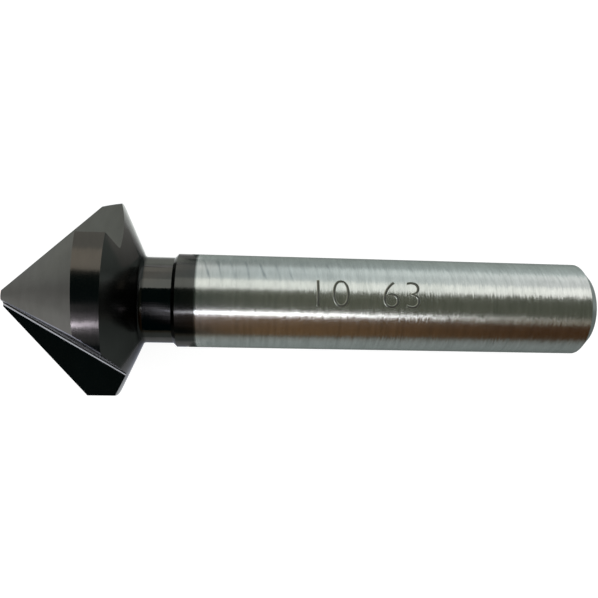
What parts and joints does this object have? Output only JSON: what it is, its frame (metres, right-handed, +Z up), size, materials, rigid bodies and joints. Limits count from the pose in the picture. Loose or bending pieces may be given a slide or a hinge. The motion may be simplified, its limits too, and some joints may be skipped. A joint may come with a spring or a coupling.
{
  "type": "countersink bit",
  "caption": "Countersink bit with a fluted 90 degree conical cutting head, a short neck and a plain cylindrical shank, one solid piece of tool steel.",
  "frame": {"origin": "on the surface that the bit lies on, under the middle of its overall length and width", "axes": "+X points from the tip towards the end of the shank, level with the surface; +Z is up. The bit lies on the rear corners of two teeth and the rim of the shank's end, so its own axis dips 4.84 degrees towards the shank."},
  "size_m": [0.0632, 0.0204, 0.0196],
  "materials": {
    "tool_steel": "ground shank, satin dark coated head and neck"
  },
  "bodies": {
    "root": {"countersink_bit": "tool_steel"}
  },
  "joints": []
}
